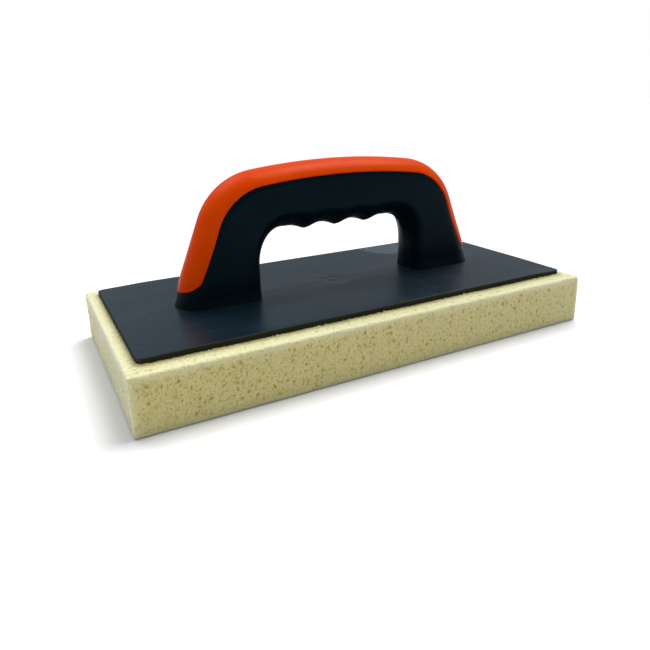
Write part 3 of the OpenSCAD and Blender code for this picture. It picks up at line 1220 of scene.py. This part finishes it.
@dataclass
class BackingPlate:
    """The flat plate, with its slight bow and the shallow marks of its moulding."""

    cut_spacing: float = 3.0
    bow: float = 0.27
    bow_start: float = 0.8
    corner_droop: float = 0.5
    gate_depth: float = 0.7
    gate_radius: float = 6.5
    gate_place: Point2 = (-2.0, 0.0)
    gate_cuts: int = 9
    gate_cut_spacing: float = 1.1
    gate_cut_shift: float = 0.17
    sink_depth: float = 0.16
    flow_depth: float = 0.10
    flow_reach: float = 30.0
    foot_place: float = 76.0
    foot_reach: float = 19.0
    foot_fade: float = 6.0
    top_band: Point2 = (-0.9, 0.01)
    rim_drop: float = 0.05

    def build(self, finish: PlateFinish, source: bpy.types.Object) -> bpy.types.Object:
        """Copies the plate's solid, cuts it finely and lets its top settle.

        Args:
            finish: The plate's finish.
            source: The plate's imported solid.

        Returns:
            The plate.
        """
        low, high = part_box("base_plate")
        mesh = bmesh.new()
        mesh.from_mesh(source.data)
        bmesh.ops.remove_doubles(mesh, verts=mesh.verts, dist=0.001 * MM)
        bmesh.ops.dissolve_limit(
            mesh, angle_limit=math.radians(0.3), verts=mesh.verts, edges=mesh.edges
        )
        for axis in (0, 1):
            self.cut_strips(mesh, axis, low[axis], high[axis])
        bmesh.ops.triangulate(mesh, faces=[f for f in mesh.faces if len(f.verts) > 4])
        reach = Vector((high.x, high.y, 0.0))
        top = self.top_height(mesh)
        rim = mesh.verts.layers.float.new("rim")
        lowest, highest = (top + band * MM for band in self.top_band)
        for vert in mesh.verts:
            # Marks the plate's side, for the finish's olive painted reflection of the foam and its
            # rougher finish.
            vert[rim] = 1.0 if vert.co.z < top - self.rim_drop * MM else 0.0
            drop = self.settle(vert.co / MM, reach / MM) * MM
            if lowest < vert.co.z < highest:
                vert.co.z -= drop
        plate = object_from(mesh, "base_plate_moulding")
        plate.data.set_sharp_from_angle(angle=math.radians(35))
        plate.data.materials.append(finish.material())
        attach(plate, ROOT)
        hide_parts("base_plate")
        return plate

    def cut_strips(self, mesh: bmesh.types.BMesh, axis: int, start: float, end: float) -> None:
        """Cuts the mesh into even strips along one axis.

        Args:
            mesh: Mesh to cut.
            axis: 0 to cut across X, 1 across Y.
            start: Lowest coordinate, in metres.
            end: Highest coordinate, in metres.
        """
        count = round((end - start) / (self.cut_spacing * MM))
        normal = Vector((1.0, 0.0, 0.0)) if axis == 0 else Vector((0.0, 1.0, 0.0))
        cuts = [start + (end - start) * k / count for k in range(1, count)]
        around = range(-self.gate_cuts, self.gate_cuts + 1)
        first = self.gate_place[axis] + self.gate_cut_shift
        cuts += [(first + self.gate_cut_spacing * k) * MM for k in around]
        for cut in cuts:
            place = normal * cut
            geometry = [*mesh.verts, *mesh.edges, *mesh.faces]
            bmesh.ops.bisect_plane(
                mesh, geom=geometry, dist=1e-6, plane_co=place, plane_no=normal
            )

    def top_height(self, mesh: bmesh.types.BMesh) -> float:
        """Finds the height of the plate's main top face.

        Args:
            mesh: The plate's mesh.

        Returns:
            The height in metres.
        """
        best, height = 0.0, 0.0
        for face in mesh.faces:
            if face.normal.z > 0.99 and face.calc_area() > best:
                best, height = face.calc_area(), face.calc_center_median().z
        return height

    def settle(self, at: Vector, reach: Vector) -> float:
        """Gives how far the top lies below flat at a place.

        Args:
            at: Place on the plate, in millimetres.
            reach: Half lengths of the plate, in millimetres.

        Returns:
            The drop in millimetres, zero under the handle's feet.
        """
        u, v = at.x / reach.x, at.y / reach.y
        # The ends bow down, and two opposite corners droop a little more.
        drop = self.bow * max(0.0, abs(u) - self.bow_start) / (1.0 - self.bow_start)
        drop += self.corner_droop * smooth_step((-u - 0.75) * 4) * smooth_step((v - 0.4) * 1.7)
        drop += self.corner_droop * smooth_step((u - 0.8) * 5) * smooth_step((-v - 0.2) * 1.3)
        # The mark of the moulding gate is a ragged dimple with a raised middle.
        flaw = fbm(Vector((at.x, at.y, 5.0)), 6.0, 2)
        gate = math.hypot(at.x - self.gate_place[0], at.y - self.gate_place[1]) + 2.2 * flaw
        drop += self.gate_depth * math.exp(-((gate / self.gate_radius) ** 2))
        drop -= 0.9 * self.gate_depth * math.exp(-((gate / (0.4 * self.gate_radius)) ** 2))
        # Broad sink marks, and flow waves that spread from the gate.
        wave = self.sink_depth * (0.5 + 0.5 * fbm(Vector((at.x, at.y * 1.6, 2.0)), 42.0, 2))
        flow = fbm(Vector((at.x * 0.6, at.y * 1.5, 9.0)), 11.0, 2)
        wave += self.flow_depth * flow * math.exp(-((gate / self.flow_reach) ** 2))
        from_foot = abs(abs(at.x) - self.foot_place) * 0.45 + abs(at.y) * 0.55
        near_foot = smooth_step((self.foot_reach - from_foot) / self.foot_fade)
        return max(0.0, drop + wave) * (1.0 - near_foot)


# --- Handle ---------------------------------------------------------------------------------


@dataclass(frozen=True)
class Station:
    """One cross-section of the arch.

    It lies between an inner and an outer point in the XZ plane. Blend is 0 on the legs and 1 on the
    crown, and ridge is how far its underside stands proud.
    """

    inner: np.ndarray
    outer: np.ndarray
    blend: float
    half_width: float
    ridge: float = 0.0

    @property
    def reach(self) -> float:
        """The distance from the inner to the outer point."""
        return float(np.linalg.norm(self.outer - self.inner))

    def mirrored(self) -> "Station":
        """Gives the same section on the other leg."""
        flip = np.array([-1.0, 1.0])
        return replace(self, inner=self.inner * flip, outer=self.outer * flip)

    def place(self, side: float, depth: float) -> Point3:
        """Turns a point of the section into a place in space.

        Args:
            side: Distance from the middle plane.
            depth: Distance from the inner point towards the outer point.

        Returns:
            The place, in millimetres.
        """
        at = self.inner + (self.outer - self.inner) * (depth / self.reach)
        return float(at[0]), side, float(at[1])


@dataclass
class ArchOutline:
    """The arch's outline: leaning legs, round shoulders, a shallow crown and finger grooves."""

    # Overall size, the legs' lean in degrees, and how they tuck in and flare out at the foot.
    height: float = 74.4
    length: float = 199.0
    width: float = 28.0
    lean: float = 22.0
    tuck: float = 3.2
    flare: float = 1.4
    flare_height: float = 6.0
    # Radii of the shoulders and the crown.
    shoulder: float = 40.0
    crown: float = 400.0
    # The grip's depth and the hand opening under it, with its corners and finger ridges.
    grip_depth: float = 36.7
    opening: float = 104.0
    corner_run: float = 15.5
    corner_rise: float = 20.0
    ridge_count: int = 3
    ridge_pitch: float = 21.0
    ridge_height: float = 2.6
    ridge_soft: float = 2.0
    # How deep the sections are rounded, outside and inside.
    crown_round_out: float = 10.5
    crown_round_in: float = 11.0
    leg_round_in: float = 7.2
    crown_keel: float = 1.2
    # Spacing of the sections on the legs, round the cover's ends, and over the top.
    leg_step: float = 0.8
    end_steps: tuple[float, ...] = (-0.3, -0.12, 0.0, 0.05, 0.12, 0.22, 0.36, 0.55, 0.8)
    seam_step: float = 0.35
    corner_step: float = 1.5
    crown_steps: int = 150
    # Worked out once the base is known.
    base: float = field(init=False)
    top: float = field(init=False)
    foot_half: float = field(init=False)
    pivot: np.ndarray = field(init=False)
    normal: np.ndarray = field(init=False)
    offset: float = field(init=False)
    crown_centre: np.ndarray = field(init=False)
    shoulder_centre: np.ndarray = field(init=False)
    angle_leg: float = field(init=False)
    angle_crown: float = field(init=False)

    def solve(self, base: float) -> None:
        """Works out the derived points once the height of the base is known.

        Args:
            base: Height of the plate's top, in millimetres.
        """
        self.base = base
        self.top = base + self.height
        self.foot_half = self.width / 2 - 0.5
        self.pivot = np.array(
            [self.opening / 2 - self.corner_run, self.top - self.grip_depth - self.corner_rise]
        )
        lean = math.radians(self.lean)
        self.normal = np.array([math.cos(lean), math.sin(lean)])
        upward = np.array([-math.sin(lean), math.cos(lean)])
        self.offset = float(self.normal @ np.array([self.length / 2 + self.tuck, base]))
        self.crown_centre = np.array([0.0, self.top - self.crown])
        start = self.normal * (self.offset - self.shoulder)
        away = start - self.crown_centre
        reach = self.crown - self.shoulder
        b = float(upward @ away)
        t = -b + math.sqrt(b * b - (float(away @ away) - reach * reach))
        self.shoulder_centre = start + upward * t
        leg_tangent = self.shoulder_centre + self.normal * self.shoulder
        toward = (self.shoulder_centre - self.crown_centre) / reach
        crown_tangent = self.crown_centre + toward * self.crown
        self.angle_leg = self.angle_to(leg_tangent)
        self.angle_crown = self.angle_to(crown_tangent)

    def angle_to(self, point: np.ndarray) -> float:
        """Gives the angle of a point above horizontal, seen from the pivot."""
        return math.atan2(point[1] - self.pivot[1], point[0] - self.pivot[0])

    def outer_at(self, angle: float) -> np.ndarray:
        """Finds the outer outline along a ray from the pivot.

        Args:
            angle: Angle above horizontal, in radians.

        Returns:
            The point on the outline.
        """
        ray = np.array([math.cos(angle), math.sin(angle)])
        if angle < self.angle_leg:
            far = (self.offset - self.normal @ self.pivot) / (self.normal @ ray)
            return self.pivot + ray * far
        on_shoulder = angle < self.angle_crown
        centre = self.shoulder_centre if on_shoulder else self.crown_centre
        radius = self.shoulder if on_shoulder else self.crown
        away = self.pivot - centre
        along = float(ray @ away)
        far = -along + math.sqrt(along * along - float(away @ away) + radius * radius)
        return self.pivot + ray * far

    def inner_at(self, angle: float) -> np.ndarray:
        """Finds the hand opening's corner along a ray from the pivot."""
        c, s = math.cos(angle), math.sin(angle)
        return self.pivot + np.array([c, s]) / math.hypot(c / self.corner_run, s / self.corner_rise)

    def leg(self, z: float) -> Station:
        """Gives the section of a leg at a height.

        Args:
            z: Height, in millimetres.

        Returns:
            The section.
        """
        line = (self.offset - self.normal[1] * z) / self.normal[0]
        line -= self.tuck * ((self.pivot[1] - z) / (self.pivot[1] - self.base)) ** 2
        flare = self.flare * max(0.0, 1 - (z - self.base) / self.flare_height) ** 2
        inner = np.array([self.opening / 2, z])
        return Station(inner, np.array([line + flare, z]), 0.0, self.foot_half + flare)

    def corner(self, angle: float) -> Station:
        """Gives the section through the corner at an angle.

        Args:
            angle: Angle above horizontal, in radians.

        Returns:
            The section.
        """
        blend = smooth_step(2 * angle / math.pi)
        half = self.foot_half + 0.5 * blend
        return Station(self.inner_at(angle), self.outer_at(angle), blend, half)

    def ridge_at(self, x: float) -> float:
        """Gives the height of the finger ridges at a place along the grip.

        Args:
            x: Place along the float, in millimetres.

        Returns:
            The height in millimetres.
        """
        middle = (self.ridge_count - 1) / 2
        soft, half = self.ridge_soft, self.ridge_pitch / 2
        full = math.hypot(half, soft) - soft
        best = 0.0
        for k in range(self.ridge_count):
            reach = math.hypot(x - (k - middle) * self.ridge_pitch, soft) - soft
            best = max(best, max(0.0, 1 - reach / full) ** 2)
        return self.ridge_height * best

    def crown_section(self, x: float) -> Station:
        """Gives the section through the crown at a place along it.

        Args:
            x: Place along the float, in millimetres.

        Returns:
            The section.
        """
        rise = self.crown_centre[1] + math.sqrt(self.crown**2 - x * x)
        inner = np.array([x, self.top - self.grip_depth])
        return Station(inner, np.array([x, rise]), 1.0, self.width / 2, self.ridge_at(x))

    def round_out(self, s: Station) -> float:
        """Gives the depth of a section's outer rounding."""
        return s.half_width + (self.crown_round_out - s.half_width) * s.blend

    def outer_point(self, s: Station, angle: float, inset: float) -> Point2:
        """Gives a point of a section's outer rounding, moved inwards along its normal.

        Args:
            s: The section.
            angle: Angle round the rounding, zero on the middle plane.
            inset: Distance moved inwards; negative stands proud.

        Returns:
            Distance from the middle plane, and distance from the inner point.
        """
        w, a = s.half_width, self.round_out(s)
        sin, cos = math.sin(angle), math.cos(angle)
        n = math.hypot(sin / w, cos / a)
        side = w * sin - inset * sin / (w * n)
        depth = s.reach - a * (1 - cos) - inset * cos / (a * n)
        return side, depth

    def inner_point(self, s: Station, angle: float) -> Point2:
        """Gives a point of a section's underside.

        Args:
            s: The section.
            angle: Angle round the rounding, zero on the middle plane.

        Returns:
            Distance from the middle plane, and distance from the inner point.
        """
        keel = 1 + (self.crown_keel - 1) * s.blend
        a = self.leg_round_in + (self.crown_round_in - self.leg_round_in) * s.blend
        out, into = math.sin(angle) ** keel, max(0.0, math.cos(angle)) ** keel
        return s.half_width * out, a * (1 - into) - s.ridge * into

    def stations(self, end: float) -> list[Station]:
        """Lists sections from one foot over the crown to the other.

        Args:
            end: Height at which the cover's end begins.

        Returns:
            The sections, finer round the cover's ends.
        """
        pivot = float(self.pivot[1])
        heights = [self.base + 0.12 * k * k * 0.35 for k in range(12)]
        heights += [heights[-1] + self.leg_step * k for k in range(1, 60)]
        heights = [z for z in heights if z < end + self.end_steps[0] - 0.15]
        heights += [end + d for d in self.end_steps]
        rise = self.end_steps[-1]
        while end + rise < pivot - 0.4:
            rise += self.seam_step
            heights.append(end + rise)
        legs = [self.leg(z) for z in heights if z < pivot - 0.2]
        turns = np.arange(0.0, 90.0, self.corner_step)
        right = legs + [self.corner(math.radians(a)) for a in turns]
        count = self.crown_steps
        half = float(self.pivot[0])
        crown = [self.crown_section(-half + 2 * half * k / count) for k in range(count + 1)]
        return [s.mirrored() for s in right] + crown + right[::-1]


@dataclass
class CoverSeam:
    """Where the soft cover meets the body: its line along the arch and its rounded ends."""

    depth: float = 7.6
    leg_extra: float = 1.1
    end_height: float = 8.2
    end_run: float = 9.0

    def half_angle(self, outline: ArchOutline, s: Station) -> float:
        """Gives the half angle of a section that the cover takes up.

        Args:
            outline: The arch's outline.
            s: The section.

        Returns:
            The half angle in radians, zero below the cover's ends.
        """
        depth = self.depth + self.leg_extra * (1 - s.blend)
        full = math.acos(max(0.0, 1 - depth / outline.round_out(s)))
        rise = float(s.outer[1]) - (outline.base + self.end_height)
        if rise <= 0:
            return 0.0
        part = min(1.0, rise / self.end_run)
        return full * math.sqrt(max(0.0, 1 - (1 - part) ** 2.3))


@dataclass
class Handle:
    """The black arch and the orange cover let into its outer side."""

    outline: ArchOutline = field(default_factory=ArchOutline)
    seam: CoverSeam = field(default_factory=CoverSeam)
    # The cover's recess, how proud it stands, and the gap and rounded edges at the seam.
    cover_depth: float = 3.0
    proud: float = 0.3
    gap: float = 0.06
    body_edge: float = 0.45
    cover_edge: float = 0.75
    least_angle: float = 0.16
    # The parting ridge under the arch.
    parting: float = 0.28
    parting_half: float = 0.45
    # Points round a section.
    edge_steps: tuple[float, ...] = (0.0, 0.07, 0.18, 0.34, 0.55, 0.85, 1.3)
    inner_steps: int = 21
    side_steps: int = 12
    floor_steps: int = 12
    face_steps: int = 10
    # Worked out while building.
    sections: list[Station] = field(init=False)
    angles: list[float] = field(init=False)
    slopes: list[float] = field(init=False)

    def prepare(self) -> None:
        """Places the outline on the plate and lists its sections."""
        low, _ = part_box("handle_body")
        self.outline.solve(low.z / MM)
        self.sections = self.outline.stations(self.outline.base + self.seam.end_height)
        self.angles = [self.seam.half_angle(self.outline, s) for s in self.sections]
        arcs = [a * s.half_width for a, s in zip(self.angles, self.sections)]
        self.slopes = []
        for k, s in enumerate(self.sections):
            a, b = max(0, k - 1), min(len(arcs) - 1, k + 1)
            run = float(np.linalg.norm(self.sections[b].outer - self.sections[a].outer))
            self.slopes.append((arcs[b] - arcs[a]) / max(run, 1e-6))

    def to_seam(self, k: int, gap: float) -> float:
        """Turns an arc distance from the seam into the true distance across it."""
        return gap / math.hypot(1.0, self.slopes[k])

    def rounded(self, distance: float, radius: float) -> float:
        """Gives the drop of a rounded edge at a distance from its wall.

        Args:
            distance: Distance from the wall, in millimetres.
            radius: Radius of the rounding, in millimetres.

        Returns:
            The drop in millimetres.
        """
        if distance >= radius:
            return 0.0
        return radius - math.sqrt(max(0.0, radius * radius - (radius - distance) ** 2))

    def underside(self, s: Station) -> list[Point2]:
        """Gives half of a section's underside, with the faint parting ridge in its middle.

        Args:
            s: The section.

        Returns:
            Points as side and depth, from the middle outwards.
        """
        count = self.inner_steps
        groove = [self.parting_half * g / s.half_width for g in (0.0, 0.5, 1.0, 1.6)]
        groove += [0.5 * math.pi * i / count for i in range(2, count + 1)]
        points = [self.outline.inner_point(s, g) for g in groove]
        points[0] = (0.0, points[0][1] - self.parting)
        points[1] = (points[1][0], points[1][1] - 0.6 * self.parting)
        return points

    def body_half(self, k: int) -> list[Point2]:
        """Gives one half of a body section, from the inner to the outer middle.

        Args:
            k: Number of the section.

        Returns:
            Points as side and depth.
        """
        s, seam, out = self.sections[k], self.angles[k], self.outline
        points = self.underside(s)
        covered = seam > self.least_angle
        start = seam if covered else self.least_angle
        reach = 0.5 * math.pi - start
        # The side, from the widest place up to the seam's edge.
        marks = [e / s.half_width for e in self.edge_steps]
        angles = [start + reach * (1 - i / self.side_steps) for i in range(self.side_steps)]
        angles = [a for a in angles if a > start + marks[-1] * 1.2]
        while len(angles) < self.side_steps:
            angles.append(angles[-1] + (start + marks[-1] - angles[-1]) * 0.3)
        for a in angles:
            points.append(out.outer_point(s, a, 0.0))
        # The rounded edge at the seam, then the floor of the recess under the cover.
        for m in reversed(marks):
            away = self.to_seam(k, m * s.half_width)
            drop = self.rounded(away, self.body_edge) if covered else 0.0
            points.append(out.outer_point(s, start + m, drop))
        depth = self.cover_depth + self.gap if covered else 0.0
        floor = start if covered else start - 0.02
        for i in range(self.floor_steps + 1):
            points.append(out.outer_point(s, floor * (1 - i / self.floor_steps), depth))
        return points

    def ring(self, s: Station, half: Sequence[Point2]) -> list[Point3]:
        """Closes a half section into a ring of places.

        Args:
            s: The section.
            half: Points of one half, as side and depth.

        Returns:
            Places round the section.
        """
        right = [s.place(side, depth) for side, depth in half]
        left = [s.place(-side, depth) for side, depth in half[-2:0:-1]]
        return right + left

    def skin(
        self, rings: Sequence[Sequence[Point3]]
    ) -> tuple[list[Point3], list[tuple[int, ...]]]:
        """Joins equal rings into a closed surface.

        Args:
            rings: Rings of places, all of one size.

        Returns:
            Points and faces.
        """
        size = len(rings[0])
        points = [p for r in rings for p in r]
        faces: list[tuple[int, ...]] = []
        for k in range(len(rings) - 1):
            a, b = k * size, (k + 1) * size
            faces += [
                (a + i, a + (i + 1) % size, b + (i + 1) % size, b + i) for i in range(size)
            ]
        last = (len(rings) - 1) * size
        faces.append(tuple(range(size - 1, -1, -1)))
        faces.append(tuple(last + i for i in range(size)))
        return points, faces

    def build_body(self, finish: HandleFinish) -> bpy.types.Object:
        """Makes the black arch.

        Args:
            finish: The black plastic's finish.

        Returns:
            The arch.
        """
        rings = [self.ring(s, self.body_half(k)) for k, s in enumerate(self.sections)]
        points, faces = self.skin(rings)
        body = new_mesh_object("handle_arch", points, faces, 50)
        body.data.materials.append(finish.material())
        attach(body, ROOT)
        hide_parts("handle_body")
        return body

    def cover_ring(self, k: int) -> list[Point3]:
        """Gives one section of the cover, floor first and then its outer face.

        Args:
            k: Number of the section.

        Returns:
            Places round the section.
        """
        s, out = self.sections[k], self.outline
        edge = self.angles[k] - self.gap / s.half_width
        marks = [min(e / s.half_width, edge * 0.9) for e in self.edge_steps]
        inner = edge - marks[-1]
        half = [inner * i / self.face_steps for i in range(self.face_steps + 1)]
        half += [edge - m for m in reversed(marks[:-1])]
        outer = []
        for a in half:
            away = self.to_seam(k, (edge - a) * s.half_width)
            drop = self.rounded(away, self.cover_edge)
            outer.append(out.outer_point(s, a, drop - self.proud))
        spread = [edge * i / self.floor_steps for i in range(self.floor_steps + 1)]
        floor = [out.outer_point(s, a, self.cover_depth) for a in spread]
        round_trip = [(-y, d) for y, d in floor[:0:-1]] + floor
        round_trip += outer[::-1] + [(-y, d) for y, d in outer[1:]]
        return [s.place(side, depth) for side, depth in round_trip]

    def build_cover(self, finish: GripFinish) -> bpy.types.Object:
        """Makes the orange cover.

        Args:
            finish: The cover's finish.

        Returns:
            The cover.
        """
        used = [k for k, a in enumerate(self.angles) if a > self.least_angle * 1.15]
        rings = [self.cover_ring(k) for k in used]
        points, faces = self.skin(rings)
        cover = new_mesh_object("grip_cover_strip", points, faces, 55)
        cover.data.materials.append(finish.material())
        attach(cover, ROOT)
        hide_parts("grip_cover")
        return cover


# --- Carried-over solids --------------------------------------------------------------------


@dataclass
class HiddenParts:
    """The adhesive and the screws keep their solids and get their own finishes."""

    adhesive: GlueFinish = GlueFinish()
    screws: SteelFinish = SteelFinish()

    def dress(self, nodes: dict[str, bpy.types.Object]) -> None:
        """Gives each carried-over node its material.

        Args:
            nodes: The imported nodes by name.
        """
        for name, finish in (("adhesive_layer", self.adhesive), ("handle_screws", self.screws)):
            node = nodes[name]
            material = finish.material()
            for slot in node.material_slots:
                slot.material = material
            if not node.material_slots:
                node.data.materials.append(material)


# --- Studio ---------------------------------------------------------------------------------


@dataclass(frozen=True)
class SoftLight:
    """One square area light aimed at the float."""

    name: str
    place: Point3
    size: float
    power: float
    tint: Colour = (1.0, 1.0, 1.0)

    def build(self, target: Vector) -> None:
        """Adds the light.

        Args:
            target: Point it is aimed at, in metres.
        """
        data = bpy.data.lights.new(self.name, "AREA")
        data.shape = "SQUARE"
        data.size = self.size
        data.energy = self.power
        data.color = self.tint
        add_lamp(data, Vector(self.place), target)


@dataclass(frozen=True)
class SoftSun:
    """A wide, even light that reaches the whole floor alike."""

    name: str
    place: Point3
    spread: float
    power: float

    def build(self, target: Vector) -> None:
        """Adds the light.

        Args:
            target: Point it is aimed at, in metres.
        """
        data = bpy.data.lights.new(self.name, "SUN")
        data.angle = math.radians(self.spread)
        data.energy = self.power
        add_lamp(data, Vector(self.place), target)


def add_lamp(data: bpy.types.Light, place: Vector, target: Vector) -> None:
    """Puts a light in the scene, turned towards a point.

    Args:
        data: The light itself.
        place: Where it stands, in metres.
        target: Where it looks, in metres.
    """
    lamp = bpy.data.objects.new(data.name, data)
    lamp.location = place
    lamp.rotation_euler = (target - place).to_track_quat("-Z", "Y").to_euler()
    bpy.context.scene.collection.objects.link(lamp)


@dataclass
class Studio:
    """Pale floor, soft lights and the camera, with places and sizes in metres."""

    floor_radius: float = 40.0
    floor_sides: int = 96
    floor_drop: float = 0.00002
    world_light: float = 0.42
    world_tint: Colour = (0.86, 0.97, 1.06)
    camera_place: Point3 = (-0.16835, -0.30503, 0.13817)
    yaw: float = 28.70
    pitch: float = -16.79
    roll: float = -1.193
    lens: float = 32.04
    shift: Point2 = (-0.0138, -0.0712)
    lights: tuple[SoftLight | SoftSun, ...] = (
        SoftSun("key", (0.40, 0.16, 0.95), 34.0, 2.75),
        SoftLight("top_box", (-0.30, 0.55, 0.90), 0.6, 3.5),
    )

    def build(self, finish: FloorFinish) -> None:
        """Builds the whole studio.

        Args:
            finish: The floor's finish.
        """
        low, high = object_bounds()
        self.build_floor(finish, low.z)
        for light in self.lights:
            light.build((low + high) / 2)
        self.build_world()
        self.build_camera()

    def build_floor(self, finish: FloorFinish, height: float) -> None:
        """Lays a wide round floor under the float.

        Args:
            finish: The floor's finish.
            height: Height of the floor, in metres.
        """
        count = self.floor_sides
        reach = self.floor_radius / MM
        level = (height - self.floor_drop) / MM
        turns = [2 * math.pi * k / count for k in range(count)]
        points = [(reach * math.cos(turn), reach * math.sin(turn), level) for turn in turns]
        floor = new_mesh_object("studio_floor", points, [tuple(range(count))])
        floor.data.materials.append(finish.material())
        floor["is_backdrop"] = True

    def build_world(self) -> None:
        """Sets an even pale surround that shows brighter than it lights."""
        world = bpy.data.worlds.new("studio_surround")
        bpy.context.scene.world = world
        world.use_nodes = True
        tree = world.node_tree
        tree.nodes.clear()
        lit = tree.nodes.new("ShaderNodeBackground")
        lit.inputs["Color"].default_value = (*self.world_tint, 1.0)
        lit.inputs["Strength"].default_value = self.world_light
        seen = tree.nodes.new("ShaderNodeBackground")
        seen.inputs["Color"].default_value = (1.0, 1.0, 1.0, 1.0)
        path = tree.nodes.new("ShaderNodeLightPath")
        mix = tree.nodes.new("ShaderNodeMixShader")
        output = tree.nodes.new("ShaderNodeOutputWorld")
        tree.links.new(path.outputs["Is Camera Ray"], mix.inputs[0])
        tree.links.new(lit.outputs[0], mix.inputs[1])
        tree.links.new(seen.outputs[0], mix.inputs[2])
        tree.links.new(mix.outputs[0], output.inputs["Surface"])

    def build_camera(self) -> None:
        """Places the camera and sets plain colour handling."""
        data = bpy.data.cameras.new("camera")
        data.sensor_width = 36.0
        data.lens = self.lens
        data.shift_x, data.shift_y = self.shift
        camera = bpy.data.objects.new("camera", data)
        turn = Matrix.Rotation(math.radians(-self.yaw), 4, "Z")
        tilt = Matrix.Rotation(math.radians(90 + self.pitch), 4, "X")
        tip = Matrix.Rotation(math.radians(self.roll), 4, "Z")
        camera.matrix_world = Matrix.Translation(self.camera_place) @ turn @ tilt @ tip
        bpy.context.scene.collection.objects.link(camera)
        bpy.context.scene.camera = camera
        bpy.context.scene.view_settings.view_transform = "Standard"


# --- Assembly -------------------------------------------------------------------------------


def report(piece: bpy.types.Object) -> None:
    """Logs a piece's name and its number of faces.

    Args:
        piece: The piece to report.
    """
    LOG.info("%s: %d faces", piece.name, len(piece.data.polygons))


def corners(box: tuple[Vector, Vector]) -> list[list[float]]:
    """Turns a box's two corners into plain lists of numbers."""
    return [list(box[0]), list(box[1])]


def main() -> None:
    """Builds every sub-assembly in order."""
    logging.basicConfig(level=logging.INFO, format="%(message)s")
    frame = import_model()
    report(SpongePad().build(FoamFinish()))
    report(BackingPlate().build(PlateFinish(), frame["nodes"]["base_plate"]))
    handle = Handle()
    handle.prepare()
    report(handle.build_body(HandleFinish()))
    report(handle.build_cover(GripFinish()))
    HiddenParts().dress(frame["nodes"])
    Studio().build(FloorFinish())


if __name__ == "__main__":
    main()
